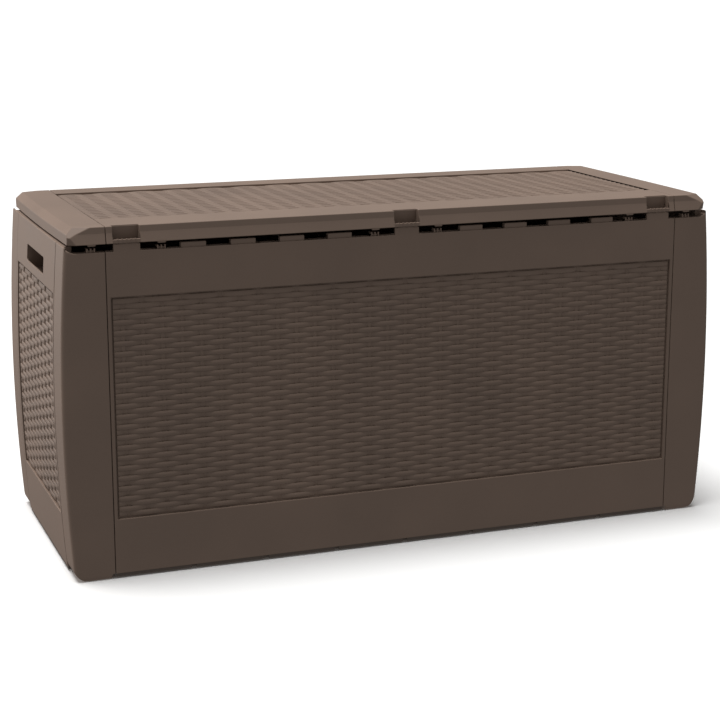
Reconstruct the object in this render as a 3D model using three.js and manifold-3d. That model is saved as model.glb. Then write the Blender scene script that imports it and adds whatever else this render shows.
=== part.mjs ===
// Deck storage box in moulded resin: four bowed or flat walls between corner posts, a floor panel,
// and a shallow hinged lid. Millimetres, +Z up, front towards -Y, origin on the ground at the middle.
import * as THREE from 'three';
import { mergeVertices } from 'three/addons/utils/BufferGeometryUtils.js';
import Module from 'manifold-3d';

const wasm = await Module();
wasm.setup();

// ---------------------------------------------------------------- driving dimensions
const overallWidth = 1170;          // across the fullest part of the bowed ends
const bodyDepth = 464;              // outside of the front wall to outside of the rear wall
const rimHeight = 538.5;            // top of the front and rear walls
const lidGap = 12.5;                // wall top to the bottom of the lid skirt
const lidDepth = 27;                // bottom of the skirt to the top of the lid
const lidOverhang = 2;              // lid beyond the front and rear walls
const lidEndSetBack = 3.9;          // lid ends inside the outer faces of the end walls
const endClear = 2.5;               // end walls stand higher than the front, up to this below the lid
const bowRadius = 3170;             // upright bow of both ends
const bowHeight = 268;              // height of the fullest point
const skin = 3;                     // general moulding thickness
const wallThickness = 16;           // skin and its inside ribs together
const seatGap = 0.3;                // between pieces that rest on each other
const seamGap = 1;                  // visible seam between a post and a wall

// ---------------------------------------------------------------- posts, walls and floor
const postWidth = 77.5;             // middle of a front seam to the fullest part of the end
const postDepth = 62;               // middle of a seam on an end to the front or rear face
const postCornerRadius = 7;
const postBaseThickness = 12;
const postFlange = 3;
const footCornerRadius = 22;
const footEdgeRadius = 6;
const footSlope = 3;                // small slope on the inner end of a foot
const panelLift = 8;                // underside of the walls above the ground
const lapWidth = 12;                // tongue of a post behind the end of a wall
const cornerPlateThickness = 3;
const cornerPlateLap = 6.5;
const bowSteps = 8;
const floorThickness = 4.7;
const floorSetBack = 1.5;
const floorRimHeight = 18;
const floorRibHeight = 3;
const floorRibWidth = 6;
const floorRibCount = 7;
const clipPitch = 125;
const clipCount = 7;
const clipWidth = 8;
const clipDepth = 4;

// ---------------------------------------------------------------- woven fields
const fieldBottom = 100;            // of the pockets in the walls
const upperBand = 73.5;             // top of a pocket to the rim
const frontFieldInset = 6.5;        // end of a pocket to the seam
const sideFieldInset = 10;
const lidFieldFrontInset = 88;
const lidFieldRearInset = 58;
const strandRowsFront = 42;
const strandRowsSide = 40;
const strandRowsLid = 36;
const strandCrest = 1.8;            // depth of a strand's face below the plain bands
const strandValley = 4;             // depth between two strands
const grooveDepth = 5.5;            // shadow groove round a field
const grooveWidth = 3;
const pocketBack = grooveDepth + skin;

// ---------------------------------------------------------------- rim, hand holes, tabs
const handHoleHalf = 74;
const handHoleHeight = 28;
const handHoleDrop = 30;            // top of the hole below the rim
const handCupDepth = 36;            // a closed cup behind each hole
const handCupDrop = 12;             // its bottom below the bottom of the hole
const rimSlotDrop = 3;              // the slot along the front rim goes through its top
const rimBlockDepth = 13;           // blocks reach back across the slot
const cornerSlopeRun = 12;          // rim rises to the end skin at each corner
const cornerSlopeRise = 5;
const tabWidth = 43;
const tabInset = 34.5;              // middle of an outer tab to the seam
const tabClear = 1.5;               // tabs, blocks and bumpers end this far below the lid
const tabThickness = 5;
const merlonWidth = 42;
const merlonFirst = 117.5;          // middle of the block nearest the middle of the wall
const merlonInset = 142.8;          // middle of the last block to the seam
const merlonCount = 4;
const merlonClear = 4;
const merlonSetBack = 2;
const bumperFirst = 56;             // middle of the bumper nearest the middle of the wall
const bumperInset = 90.5;           // middle of the next one to the seam
const postBumperPlace = 22.5;       // and of the one on the post, past the seam
const bumperWidth = 15;
const bumperClear = 6;
const bumperDip = 2.5;              // lip on the lid skirt above a bumper

// ---------------------------------------------------------------- lid
const lidSeamInset = 1.5;           // seams of the lid, inside the seams of the front
const lidSkirtInset = 4.2;          // front face above the flare, behind the skirt edge
const lidFlareHeight = 16.5;
const lidTopInset = 5;
const lidEndChamferRun = 11;
const lidEndChamferDrop = 10.5;
const lidEndBow = 3;                // ends bow out in plan
const lidCornerCut = 14;            // along the length, and less across the depth
const lidCornerCutDepth = 8;
const lidRibRise = 9.5;             // underside of the lid ribs above the bottom of the skirt
const lidRibThickness = 3;
const lidCellColumns = 10;
const notchWidth = 43.5;
const notchTopDepth = 16;           // from the skirt edge back along the top
const notchBottomDepth = 22;
const notchLedge = 3;
const endTongue = 10;               // lap of an end piece under the centre panel

// ---------------------------------------------------------------- hinges
const hingeEndInset = 107.5;        // middle of an outer hinge to the seam
const hingePlaceNames = ['left', 'centre', 'right'];
const knuckleInset = 4;             // knuckles inside the outer face of the rear wall
const hingeRise = 7;                // axis above the bottom of the skirt
const knuckleRadius = 6;
const knuckleHalf = 24;
const pinRadius = 2.5;
const pinClear = 0.3;
const pinHeadRadius = 4;
const pinHeadLength = 2;
const bracketPlate = 3;
const bracketHalf = 25;
const lugGap = 1;
const lugThickness = 8;
const leafPlate = 2.7;
const leafLength = 39;
const leafRearClear = 1;
const hingeNotchClear = 2;
const hingeNotchDrop = 6;           // solid lid left above a hinge notch
const hingeBayClear = 8;

// ---------------------------------------------------------------- derived places
const frontY = -bodyDepth / 2;
const rearY = bodyDepth / 2;
const rimHalf = halfWidth(rimHeight);
const lidHalf = rimHalf - lidEndSetBack;
const lidBottom = rimHeight + lidGap;
const lidTopHeight = lidBottom + lidDepth;
const lidFrontY = frontY - lidOverhang;
const lidRearY = rearY + lidOverhang;
const seamX = overallWidth / 2 - postWidth;
const sideSeamY = bodyDepth / 2 - postDepth;
const lidSeamX = seamX - lidSeamInset;
const frontWallHalf = seamX - seamGap / 2;
const sideWallHalf = sideSeamY - seamGap / 2;
const postSeamX = seamX + seamGap / 2;
const postSeamY = sideSeamY + seamGap / 2;
const fieldTop = rimHeight - upperBand;
const frontFieldHalf = seamX - frontFieldInset;
const sideFieldHalf = sideSeamY - sideFieldInset;
const lidFieldFront = lidFrontY + lidFieldFrontInset;
const lidFieldRear = lidRearY - lidFieldRearInset;
const handHoleTop = rimHeight - handHoleDrop;
const handHoleBottom = handHoleTop - handHoleHeight;
const endTop = lidBottom - endClear;
const lidRibBottom = lidBottom + lidRibRise;
const tabPlaces = [tabInset - seamX, 0, seamX - tabInset];
const tabTop = lidBottom - tabClear;
const merlonPitch = (seamX - merlonInset - merlonFirst) / (merlonCount - 1);
const merlonTop = lidBottom - merlonClear;
const bumperPlaces = [bumperFirst, seamX - bumperInset, seamX + postBumperPlace];
const bumperTop = lidBottom - bumperClear;
const tongueInner = wallThickness + seatGap;
const hingePlaces = [hingeEndInset - seamX, 0, seamX - hingeEndInset];
const hingeY = rearY - knuckleInset - knuckleRadius;
const hingeHeight = lidBottom + hingeRise;
const pinBoreRadius = pinRadius + pinClear;
const hingeNotchTop = lidTopHeight - hingeNotchDrop;
const far = 2 * overallWidth;

// Half the width of the body at a height: one upright arc, fullest at bowHeight.
function halfWidth(z) {
  return overallWidth / 2 - bowRadius + Math.sqrt(bowRadius ** 2 - (z - bowHeight) ** 2);
}

// ---------------------------------------------------------------- geometry helpers
function solidFrom(source) {
  const bare = source.clone();
  bare.deleteAttribute('normal');
  bare.deleteAttribute('uv');
  const merged = mergeVertices(bare, 1e-4);
  return new wasm.Manifold(new wasm.Mesh({
    numProp: 3,
    vertProperties: new Float32Array(merged.attributes.position.array),
    triVerts: new Uint32Array(merged.index.array),
  }));
}

function geometryFrom(solid) {
  const mesh = solid.getMesh();
  const indexed = new THREE.BufferGeometry();
  indexed.setAttribute('position', new THREE.BufferAttribute(new Float32Array(mesh.vertProperties), 3));
  indexed.setIndex(new THREE.BufferAttribute(new Uint32Array(mesh.triVerts), 1));
  const flat = indexed.toNonIndexed();
  flat.computeVertexNormals();
  return flat;
}

function box(x0, x1, y0, y1, z0, z1) {
  const block = new THREE.BoxGeometry(x1 - x0, y1 - y0, z1 - z0);
  block.translate((x0 + x1) / 2, (y0 + y1) / 2, (z0 + z1) / 2);
  return solidFrom(block);
}

function extruded(outline, length, steps = 1) {
  const shape = new THREE.Shape(outline.map(([u, v]) => new THREE.Vector2(u, v)));
  return new THREE.ExtrudeGeometry(shape, { depth: length, steps, bevelEnabled: false });
}

// An outline of [y, z] points run along X.
function prismX(outline, x0, x1) {
  const prism = extruded(outline, x1 - x0);
  prism.applyMatrix4(new THREE.Matrix4().set(0, 0, 1, x0, 1, 0, 0, 0, 0, 1, 0, 0, 0, 0, 0, 1));
  return solidFrom(prism);
}

// An outline of [x, z] points run along Y.
function prismY(outline, y0, y1) {
  const prism = extruded(outline.map(([x, z]) => [z, x]), y1 - y0);
  prism.applyMatrix4(new THREE.Matrix4().set(0, 1, 0, 0, 0, 0, 1, y0, 1, 0, 0, 0, 0, 0, 0, 1));
  return solidFrom(prism);
}

// An outline of [x, y] points run along Z; with bowed, the outer leg follows the bow of the ends.
function prismZ(outline, z0, z1, bowed = false) {
  const steps = bowed ? Math.max(1, Math.round((bowSteps * (z1 - z0)) / rimHeight)) : 1;
  const prism = extruded(outline, z1 - z0, steps);
  prism.translate(0, 0, z0);
  if (bowed) {
    const place = prism.attributes.position;
    for (let i = 0; i < place.count; i += 1) {
      const share = THREE.MathUtils.clamp((place.getX(i) - postSeamX) / (rimHalf - postSeamX - 28), 0, 1);
      place.setX(i, place.getX(i) + share * (halfWidth(place.getZ(i)) - rimHalf));
    }
  }
  return solidFrom(prism);
}

function joined(first, ...others) {
  return others.reduce((whole, next) => whole.add(next), first);
}

function cut(whole, ...tools) {
  return tools.reduce((left, tool) => left.subtract(tool), whole);
}

function arc(cx, cy, radius, fromDeg, toDeg, pieces) {
  const points = [];
  for (let i = 0; i <= pieces; i += 1) {
    const turn = THREE.MathUtils.degToRad(fromDeg + ((toDeg - fromDeg) * i) / pieces);
    points.push([cx + radius * Math.cos(turn), cy + radius * Math.sin(turn)]);
  }
  return points;
}

// Places that split a span into equal cells with a rib between neighbours.
function cells(from, to, count, rib = skin) {
  const pitch = (to - from + rib) / count;
  return Array.from({ length: count }, (_, i) => [from + i * pitch, from + (i + 1) * pitch - rib]);
}

// The depth line of a woven field: a groove, rows of strands, and a groove, as [along, depth].
function strandLine(from, to, rows) {
  const start = from + grooveWidth;
  const pitch = (to - from - 2 * grooveWidth) / rows;
  const line = [[from, grooveDepth], [start, grooveDepth]];
  for (let row = 0; row < rows; row += 1) {
    const low = start + row * pitch;
    line.push([low + 0.2 * pitch, strandCrest], [low + 0.8 * pitch, strandCrest]);
    if (row < rows - 1) {
      line.push([low + pitch, strandValley]);
    }
  }
  line.push([to - grooveWidth, grooveDepth], [to, grooveDepth]);
  return line;
}

function finish(name, solid, material) {
  const mesh = new THREE.Mesh(geometryFrom(solid), material);
  mesh.name = name;
  return mesh;
}

// ---------------------------------------------------------------- materials
const resin = () => new THREE.MeshStandardMaterial({ color: 0x857468, roughness: 0.72, metalness: 0 });
const darkResin = () => new THREE.MeshStandardMaterial({ color: 0x5d5048, roughness: 0.75, metalness: 0 });
const steel = () => new THREE.MeshStandardMaterial({ color: 0x9a9a98, roughness: 0.35, metalness: 1 });

// ---------------------------------------------------------------- floor panel
function floorPanel() {
  const bottom = panelLift - seatGap - floorThickness;
  const top = panelLift - seatGap;
  const sideEdge = halfWidth(panelLift) - floorSetBack;
  const lengthwise = box(
    -frontWallHalf + seamGap, frontWallHalf - seamGap,
    frontY + floorSetBack, rearY - floorSetBack, bottom, top);
  const crosswise = box(-sideEdge, sideEdge, -sideWallHalf + seamGap, sideWallHalf - seamGap, bottom, top);
  let floor = joined(lengthwise, crosswise);

  const rimY = rearY - tongueInner;
  const rimX = halfWidth(panelLift) - tongueInner;
  const rimHalfX = seamX - lapWidth - cornerPlateLap;
  const rimHalfY = sideSeamY - lapWidth - cornerPlateLap;
  for (const side of [-1, 1]) {
    const [y0, y1] = [side * rimY, side * (rimY - skin)].sort((a, b) => a - b);
    const [x0, x1] = [side * rimX, side * (rimX - skin)].sort((a, b) => a - b);
    floor = joined(floor,
      box(-rimHalfX, rimHalfX, y0, y1, top - 1, top + floorRimHeight),
      box(x0, x1, -rimHalfY, rimHalfY, top - 1, top + floorRimHeight));
  }
  for (const [y0, y1] of cells(-rimHalfY, rimHalfY, floorRibCount, 0)) {
    const middle = (y0 + y1) / 2;
    floor = joined(floor, box(-rimHalfX, rimHalfX, middle - floorRibWidth / 2, middle + floorRibWidth / 2,
      top - 1, top + floorRibHeight));
  }
  for (let i = 0; i < clipCount; i += 1) {
    const x = (i - (clipCount - 1) / 2) * clipPitch;
    for (const side of [-1, 1]) {
      const edge = side * (rearY - floorSetBack);
      floor = cut(floor, box(x - clipWidth / 2, x + clipWidth / 2,
        edge - clipDepth, edge + clipDepth, 0, far));
    }
  }
  return floor;
}

// ---------------------------------------------------------------- front and rear walls
// Built as the front wall: [y, z] depths count inwards from its outer face.
function longWall() {
  const half = frontWallHalf;
  const outer = (depth) => frontY + depth;
  let wall = box(-half, half, outer(0), outer(wallThickness), panelLift, rimHeight);

  const line = strandLine(fieldBottom, fieldTop, strandRowsFront).map(([z, depth]) => [outer(depth), z]);
  line.push([outer(-skin), fieldTop], [outer(-skin), fieldBottom]);
  const [innerHalf, edge] = [frontFieldHalf - grooveWidth, outer(grooveDepth)];
  wall = cut(wall, prismX(line, -innerHalf - 1, innerHalf + 1),
    box(-frontFieldHalf, -innerHalf, outer(-skin), edge, fieldBottom, fieldTop),
    box(innerHalf, frontFieldHalf, outer(-skin), edge, fieldBottom, fieldTop));

  const bands = [
    [panelLift + skin, fieldBottom - skin, skin],
    [fieldBottom, (fieldBottom + fieldTop - skin) / 2, pocketBack],
    [(fieldBottom + fieldTop + skin) / 2, fieldTop, pocketBack],
    [fieldTop + skin, rimHeight - skin, skin],
  ];
  for (const [x0, x1] of cells(-half + skin, half - skin, 8)) {
    for (const [z0, z1, depth] of bands) {
      wall = cut(wall, box(x0, x1, outer(depth), outer(wallThickness + 1), z0, z1));
    }
  }
  return wall;
}

function bumper(x) {
  return box(x - bumperWidth / 2, x + bumperWidth / 2, frontY + merlonSetBack,
    frontY + rimBlockDepth, rimHeight - 1, bumperTop);
}

// The front wall's rim is two thin edges with a slot between them, crossed by the blocks.
function frontWall() {
  let wall = longWall();
  for (const [x0, x1] of cells(-frontWallHalf + skin, frontWallHalf - skin, 8)) {
    wall = cut(wall, box(x0, x1, frontY + skin, frontY + wallThickness - skin,
      rimHeight - rimSlotDrop - 1, far));
  }
  for (const x of tabPlaces) {
    wall = joined(wall, box(x - tabWidth / 2, x + tabWidth / 2, frontY, frontY + tabThickness,
      rimHeight - 1, tabTop));
  }
  for (const side of [-1, 1]) {
    for (let i = 0; i < merlonCount; i += 1) {
      const x = side * (merlonFirst + i * merlonPitch);
      wall = joined(wall, box(x - merlonWidth / 2, x + merlonWidth / 2, frontY + merlonSetBack,
        frontY + rimBlockDepth, rimHeight - 1, merlonTop));
    }
    for (const place of bumperPlaces.filter((x) => x < seamX)) {
      wall = joined(wall, bumper(side * place));
    }
  }
  return wall;
}

// ---------------------------------------------------------------- end walls
// Built as the right end wall: a slab between two depths below the bowed outer face.
function endSlab(depth0, depth1, y0, y1, z0, z1) {
  const pieces = Math.max(1, Math.round((bowSteps * (z1 - z0)) / rimHeight));
  const heights = Array.from({ length: pieces + 1 }, (_, i) => z0 + ((z1 - z0) * i) / pieces);
  const outside = heights.map((z) => [halfWidth(z) - depth0, z]);
  const inside = heights.reverse().map((z) => [halfWidth(z) - depth1, z]);
  return prismY([...outside, ...inside], y0, y1);
}

function endWall() {
  const half = sideWallHalf;
  const thick = wallThickness;
  let wall = endSlab(0, thick, -half, half, panelLift, endTop);

  const line = strandLine(fieldBottom, fieldTop, strandRowsSide);
  const outline = line.map(([z, depth]) => [halfWidth(z) - depth, z]);
  outline.push([overallWidth / 2 + skin, fieldTop], [overallWidth / 2 + skin, fieldBottom]);
  const innerHalf = sideFieldHalf - grooveWidth;
  wall = cut(wall, prismY(outline, -innerHalf - 1, innerHalf + 1));
  for (const [y0, y1] of [[-sideFieldHalf, -innerHalf], [innerHalf, sideFieldHalf]]) {
    wall = cut(wall, endSlab(-skin, grooveDepth, y0, y1, fieldBottom, fieldTop));
  }

  const ringHalf = handHoleHalf + skin;
  const middle = (fieldBottom + fieldTop) / 2;
  for (const [y0, y1] of cells(-half + skin, half - skin, 3)) {
    wall = cut(wall, endSlab(skin, thick + 1, y0, y1, panelLift + skin, fieldBottom - skin),
      endSlab(pocketBack, thick + 1, y0, y1, fieldBottom, middle - skin / 2),
      endSlab(pocketBack, thick + 1, y0, y1, middle + skin / 2, fieldTop));
  }
  wall = cut(wall, endSlab(skin, thick + 1, -half + skin, -ringHalf, fieldTop + skin, endTop - skin),
    endSlab(skin, thick + 1, ringHalf, half - skin, fieldTop + skin, endTop - skin),
    endSlab(skin, thick + 1, -ringHalf + skin, ringHalf - skin, handHoleTop + skin, endTop - skin));

  const cupBottom = handHoleBottom - handCupDrop;
  const cup = endSlab(1, handCupDepth + skin, -ringHalf, ringHalf, cupBottom - skin, handHoleTop + skin);
  const inside = endSlab(skin, handCupDepth, -handHoleHalf, handHoleHalf, cupBottom, handHoleTop);
  const hole = endSlab(-skin, skin + 1, -handHoleHalf, handHoleHalf, handHoleBottom, handHoleTop);
  return cut(joined(wall, cup), inside, hole);
}

// ---------------------------------------------------------------- corner posts
// Built as the front right post, an angle section with its tongues, foot and corner plate.
function postOutline(inset, flange) {
  const radius = postCornerRadius - inset;
  const corner = arc(rimHalf - postCornerRadius, frontY + postCornerRadius, radius, -90, 0, 5);
  const [innerX, innerY] = [rimHalf - wallThickness, frontY + wallThickness];
  const open = inset > 0 ? 1 : 0;
  return [
    [postSeamX + flange, frontY + inset], ...corner,
    [rimHalf - inset, -postSeamY - flange], [innerX - open, -postSeamY - flange],
    [innerX - open, innerY + open], [postSeamX + flange, innerY + open],
  ];
}

function cornerPost(rear) {
  let post = prismZ(postOutline(0, 0), 0, endTop, true);
  for (const [z0, z1] of cells(postBaseThickness, rimHeight - skin, 4)) {
    post = cut(post, prismZ(postOutline(skin, postFlange), z0, z1, true));
  }
  const skinX = rimHalf - skin;
  const lowRim = prismY([
    [0, rimHeight], [skinX - cornerSlopeRun, rimHeight], [skinX, rimHeight + cornerSlopeRise],
    [skinX, far], [0, far],
  ], frontY - 1, rear ? -(hingeY - wallThickness) : frontY + wallThickness);
  post = cut(post, lowRim);

  const footHalf = halfWidth(footCornerRadius);
  const rounding = arc(footHalf - footCornerRadius, footCornerRadius, footCornerRadius, -90, 0, 6);
  const slopeX = postSeamX + footSlope + 1;
  post = post.intersect(prismY([
    [postSeamX - 1, panelLift], [slopeX, panelLift], [slopeX + footSlope, 0], ...rounding,
    [far, footCornerRadius], [far, far], [postSeamX - 1, far],
  ], -far, far));
  const slopeY = -postSeamY - footSlope - 1;
  const frontRounding = arc(frontY + footEdgeRadius, footEdgeRadius, footEdgeRadius, -180, -90, 3);
  post = post.intersect(prismX([
    [frontY - 1, far], [frontY - 1, footEdgeRadius], ...frontRounding,
    [slopeY - footSlope, 0], [slopeY, panelLift], [-postSeamY + 1, panelLift], [-postSeamY + 1, far],
  ], 0, far));

  const tongueBottom = panelLift + postBaseThickness;
  const tongueTop = rimHeight - 2 * skin;
  const frontTongueY = frontY + tongueInner;
  const sideTongueX = rimHalf - tongueInner;
  const frontTongue = [
    [postSeamX - lapWidth, frontTongueY], [postSeamX, frontTongueY], [postSeamX, frontTongueY - 1],
    [postSeamX + skin, frontTongueY - 1], [postSeamX + skin, frontTongueY + skin],
    [postSeamX - lapWidth, frontTongueY + skin],
  ];
  const sideTongue = [
    [sideTongueX, -postSeamY + lapWidth], [sideTongueX - skin, -postSeamY + lapWidth],
    [sideTongueX - skin, -postSeamY - skin], [sideTongueX + 1, -postSeamY - skin],
    [sideTongueX + 1, -postSeamY], [sideTongueX, -postSeamY],
  ];
  const plateX = halfWidth(panelLift) - tongueInner;
  const cornerPlate = [
    [seamX - cornerPlateLap, -sideSeamY + cornerPlateLap], [plateX, -sideSeamY + cornerPlateLap],
    [plateX, -postSeamY - 1], [plateX + skin, -postSeamY - 1], [plateX + skin, frontTongueY - skin],
    [postSeamX + 1, frontTongueY - skin], [postSeamX + 1, frontTongueY],
    [seamX - cornerPlateLap, frontTongueY],
  ];
  post = joined(post, prismZ(frontTongue, tongueBottom, tongueTop, true),
    prismZ(sideTongue, tongueBottom, tongueTop, true),
    prismZ(cornerPlate, panelLift, panelLift + cornerPlateThickness));

  if (rear) {
    return post;
  }
  for (const place of bumperPlaces.filter((x) => x > seamX)) {
    post = joined(post, bumper(place));
  }
  return post;
}

// ---------------------------------------------------------------- lid
// The lid's section across its depth, as [y, z]; inset gives the hollow's outline.
function lidSection(inset) {
  const wallTop = lidBottom + lidFlareHeight;
  return [
    [lidFrontY + inset, lidBottom - inset], [lidFrontY + lidSkirtInset + inset, wallTop],
    [lidFrontY + lidTopInset + inset, lidTopHeight - inset],
    [lidRearY - lidTopInset - inset, lidTopHeight - inset],
    [lidRearY - lidSkirtInset - inset, wallTop], [lidRearY - inset, lidBottom - inset],
  ];
}

function skirtLip(x) {
  return box(x - bumperWidth / 2, x + bumperWidth / 2, lidFrontY + 0.5, lidFrontY + skin,
    lidBottom - bumperDip, lidBottom + 1);
}

function lidCentre() {
  const half = lidSeamX - seamGap / 2;
  let lid = prismX(lidSection(0), -half, half);

  const line = strandLine(lidFieldFront, lidFieldRear, strandRowsLid);
  const field = line.map(([y, depth]) => [y, lidTopHeight - depth]);
  field.push([lidFieldRear, far], [lidFieldFront, far]);
  lid = cut(lid, prismX(field, -half - 1, half + 1));

  const under = prismX(lidSection(skin), -half - 1, half + 1);
  const lower = box(-far, far, -far, far, 0, lidRibBottom);
  lid = cut(lid, under.intersect(lower));
  const rows = [
    [-far, lidFieldFront - skin, lidTopHeight - skin],
    ...cells(lidFieldFront, lidFieldRear, 2).map(([y0, y1]) => [y0, y1, lidTopHeight - pocketBack]),
    [lidFieldRear + skin, far, lidTopHeight - skin],
  ];
  for (const [x0, x1] of cells(-half - 1, half + 1, lidCellColumns, lidRibThickness)) {
    for (const [y0, y1, top] of rows) {
      lid = cut(lid, under.intersect(box(x0, x1, y0, y1, lidRibBottom - 1, top)));
    }
  }

  const tongueRoom = box(half - endTongue - 2, half + 1, lidFrontY + 2 * skin, lidRearY - 2 * skin,
    lidRibBottom - 1, lidTopHeight - pocketBack);
  const otherRoom = box(-half - 1, -half + endTongue + 2, lidFrontY + 2 * skin, lidRearY - 2 * skin,
    lidRibBottom - 1, lidTopHeight - pocketBack);
  lid = cut(lid, tongueRoom, otherRoom);

  for (const x of tabPlaces) {
    lid = frontNotch(lid, x);
  }
  for (const side of [-1, 1]) {
    for (const place of bumperPlaces.filter((x) => x < seamX)) {
      lid = joined(lid, skirtLip(side * place));
    }
  }
  const bayHalf = knuckleHalf + lugGap + lugThickness + hingeBayClear;
  for (const x of hingePlaces) {
    const bay = under.intersect(box(x - bayHalf, x + bayHalf, lidFieldRear + skin, far, 0, far));
    const slot = box(x - bracketHalf - hingeNotchClear, x + bracketHalf + hingeNotchClear,
      lidRearY - lidTopInset - 2 * skin, far, 0, hingeNotchTop);
    lid = cut(lid, bay, slot);
  }
  return lid;
}

// A scoop in the front edge over each body tab, closed behind and below by its own walls.
function frontNotch(lid, x) {
  const half = notchWidth / 2;
  const ledge = lidBottom + notchLedge;
  const scoop = [
    [lidFrontY - skin, far], [lidFrontY + notchTopDepth, far], [lidFrontY + notchTopDepth, lidTopHeight],
    [lidFrontY + notchBottomDepth, ledge], [lidFrontY - skin, ledge],
  ];
  const pocket = [
    [lidFrontY + 1, lidBottom], [lidFrontY + lidSkirtInset + 1, lidBottom + lidFlareHeight],
    [lidFrontY + lidTopInset + 1, lidTopHeight - 1], [lidFrontY + notchTopDepth + skin, lidTopHeight - 1],
    [lidFrontY + notchBottomDepth + skin, ledge], [lidFrontY + notchBottomDepth, lidBottom],
  ];
  const walls = prismX(pocket, x - half - skin, x + half + skin);
  return cut(joined(lid, walls), prismX(scoop, x - half, x + half));
}

// Built as the right end: bowed outwards in plan, with cut corners and a chamfered top edge.
function lidPlan(inset) {
  const halfDepth = lidRearY - inset;
  const outline = [[lidSeamX + seamGap / 2, -halfDepth]];
  const reach = halfDepth - lidCornerCutDepth;
  outline.push([lidHalf - lidEndBow - lidCornerCut - inset, -halfDepth]);
  const pieces = 8;
  for (let i = 0; i <= pieces; i += 1) {
    const y = -reach + (2 * reach * i) / pieces;
    outline.push([lidHalf - inset - lidEndBow * (y / reach) ** 2, y]);
  }
  outline.push([lidHalf - lidEndBow - lidCornerCut - inset, halfDepth]);
  outline.push([lidSeamX + seamGap / 2, halfDepth]);
  return outline;
}

function lidEndProfile(inset) {
  return [
    [lidSeamX + seamGap / 2, lidBottom - inset], [lidHalf - inset, lidBottom - inset],
    [lidHalf - inset, lidTopHeight - lidEndChamferDrop - inset / 2],
    [lidHalf - lidEndChamferRun - inset / 2, lidTopHeight - inset],
    [lidSeamX + seamGap / 2, lidTopHeight - inset],
  ];
}

function lidEnd() {
  const seam = lidSeamX + seamGap / 2;
  const shell = (inset) => prismX(lidSection(inset), seam, far)
    .intersect(prismZ(lidPlan(inset), 0, far))
    .intersect(prismY(lidEndProfile(inset), -far, far));
  let end = cut(shell(0), shell(skin));
  for (const y of [lidFieldFront, 0, lidFieldRear]) {
    const rib = box(seam, lidHalf, y - skin / 2, y + skin / 2, lidRibBottom, lidTopHeight - 1);
    end = joined(end, rib.intersect(shell(1)));
  }
  const tongueTop = lidTopHeight - pocketBack - seatGap;
  const tongueHalf = lidRearY - notchBottomDepth - 3 * skin;
  const hook = [
    [seam - endTongue, tongueTop - skin], [seam + skin, tongueTop - skin], [seam + skin, lidTopHeight - 1],
    [seam, lidTopHeight - 1], [seam, tongueTop], [seam - endTongue, tongueTop],
  ];
  end = joined(end, prismY(hook, -tongueHalf, tongueHalf));
  for (const place of bumperPlaces.filter((x) => x > seamX)) {
    end = joined(end, skirtLip(place));
  }
  return end;
}

// ---------------------------------------------------------------- hinges
function barX(radius, x0, x1, y, z, sides = 24) {
  const bar = new THREE.CylinderGeometry(radius, radius, x1 - x0, sides);
  bar.rotateZ(Math.PI / 2);
  bar.translate((x0 + x1) / 2, y, z);
  return solidFrom(bar);
}

function hingeBracket(x) {
  const seat = rimHeight + seatGap;
  const plate = box(x - bracketHalf, x + bracketHalf, rearY - wallThickness, rearY - 1,
    seat, seat + bracketPlate);
  const arm = box(x - knuckleHalf, x + knuckleHalf, hingeY - knuckleRadius, hingeY + knuckleRadius - 1,
    seat + 1, hingeHeight);
  const knuckle = barX(knuckleRadius, x - knuckleHalf, x + knuckleHalf, hingeY, hingeHeight);
  const bore = barX(pinBoreRadius, x - far, x + far, hingeY, hingeHeight);
  return cut(joined(plate, arm, knuckle), bore);
}

function hingePin(x) {
  const reach = knuckleHalf + lugGap + lugThickness + lugGap;
  const shaft = barX(pinRadius, x - reach, x + reach, hingeY, hingeHeight);
  const head = barX(pinHeadRadius, x + reach, x + reach + pinHeadLength, hingeY, hingeHeight);
  return joined(shaft, head);
}

function hingeLeaf(x) {
  const top = lidTopHeight - skin - seatGap;
  const bottom = top - leafPlate;
  const reach = knuckleHalf + lugGap + lugThickness;
  const rearEdge = lidRearY - lidTopInset - skin - leafRearClear;
  let leaf = box(x - reach, x + reach, rearEdge - leafLength, rearEdge, bottom, top);
  for (const side of [-1, 1]) {
    const [x0, x1] = [side * (knuckleHalf + lugGap), side * reach].sort((a, b) => a - b);
    leaf = joined(leaf, barX(knuckleRadius, x + x0, x + x1, hingeY, hingeHeight),
      box(x + x0, x + x1, hingeY - knuckleRadius, rearEdge, hingeHeight, bottom + 1));
  }
  return cut(leaf, barX(pinBoreRadius, x - far, x + far, hingeY, hingeHeight));
}

// ---------------------------------------------------------------- assembly
const storageBox = new THREE.Group();
const body = new THREE.Group();
const lid = new THREE.Group();
storageBox.add(body, lid);

body.add(finish('floor_panel', floorPanel(), darkResin()));
body.add(finish('front_wall', frontWall(), resin()));
const rearWall = finish('rear_wall', longWall(), resin());
rearWall.rotation.z = Math.PI;
body.add(rearWall);

const rightWall = finish('right_end_wall', endWall(), resin());
const leftWall = finish('left_end_wall', endWall(), resin());
leftWall.rotation.z = Math.PI;
body.add(rightWall, leftWall);

for (const [depthName, rear] of [['front', false], ['rear', true]]) {
  for (const [sideName, side] of [['left', -1], ['right', 1]]) {
    const post = finish(`${depthName}_${sideName}_post`, cornerPost(rear), resin());
    post.scale.set(side, rear ? -1 : 1, 1);
    body.add(post);
  }
}

lid.add(finish('lid_centre_panel', lidCentre(), resin()));
for (const [sideName, side] of [['left', -1], ['right', 1]]) {
  const end = finish(`lid_${sideName}_end`, lidEnd(), resin());
  end.scale.x = side;
  lid.add(end);
}

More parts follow.
